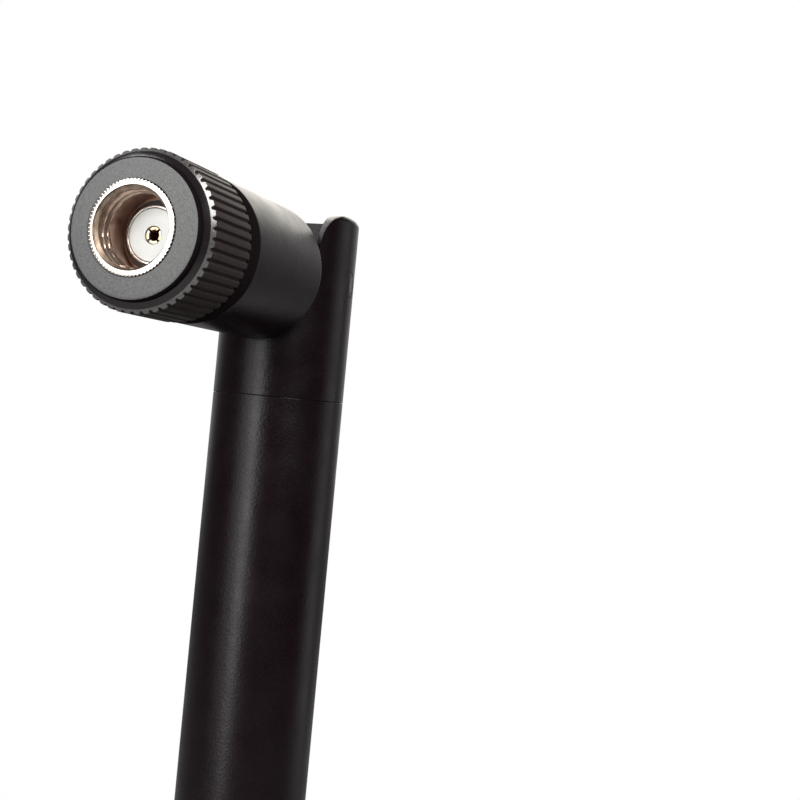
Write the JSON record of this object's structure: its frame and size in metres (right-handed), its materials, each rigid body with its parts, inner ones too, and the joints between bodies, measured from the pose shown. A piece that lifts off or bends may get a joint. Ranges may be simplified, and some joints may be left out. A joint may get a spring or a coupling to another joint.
{
  "type": "wifi antenna",
  "caption": "Articulated whip antenna: knurled coaxial coupling nut, short round base sleeve, forked tilt hinge bent at a right angle, and a long straight round arm, all matt black.",
  "frame": {"origin": "centre of the connector's mouth, in the plane of the metal mouth ring", "axes": "-Y out of the mouth towards the jack, +Y along the connector's axis to the tilt hinge, X along the hinge pins, -Z along the arm at rest"},
  "size_m": [0.0122, 0.0347, 0.1721],
  "materials": {
    "moulded_black": "finely grained matt",
    "grip_black": "moulded satin",
    "nickel_plate": "bright nickel plate",
    "gold_plate": "gold plate",
    "brass": "plain brass",
    "copper_wire": "drawn copper wire",
    "white_insulator": "turned white plastic",
    "pale_foam": "closed-cell foam",
    "seal_rubber": "matt rubber",
    "cable_jacket": "smooth cable jacket"
  },
  "bodies": {
    "base": {"base_sleeve": "moulded_black", "neck_cover": "moulded_black", "ferrule_shell": "nickel_plate", "dielectric": "white_insulator", "centre_contact": "gold_plate", "gasket": "seal_rubber", "retaining_ring": "brass", "crimp_ferrule": "nickel_plate", "coax_lower": "cable_jacket"},
    "nut": {"nut_grip": "grip_black", "nut_insert": "nickel_plate"},
    "arm": {"fork": "moulded_black", "radome": "moulded_black", "hinge_pin_left": "moulded_black", "hinge_pin_right": "moulded_black", "coax_upper": "cable_jacket", "choke_sleeve": "brass", "feed_bead": "white_insulator", "radiator_whip": "copper_wire", "spacer_choke": "pale_foam", "spacer_middle": "pale_foam", "spacer_top": "pale_foam"}
  },
  "joints": [
    {"name": "nut_spin", "type": "hinge", "parent": "base", "child": "nut", "pos_m": [0, 0, 0], "axis": [0, 1, 0], "continuous": true},
    {"name": "tilt", "type": "hinge", "parent": "base", "child": "arm", "pos_m": [0, 0.02875, 0], "axis": [1, 0, 0], "range_deg": [0, 90]}
  ]
}
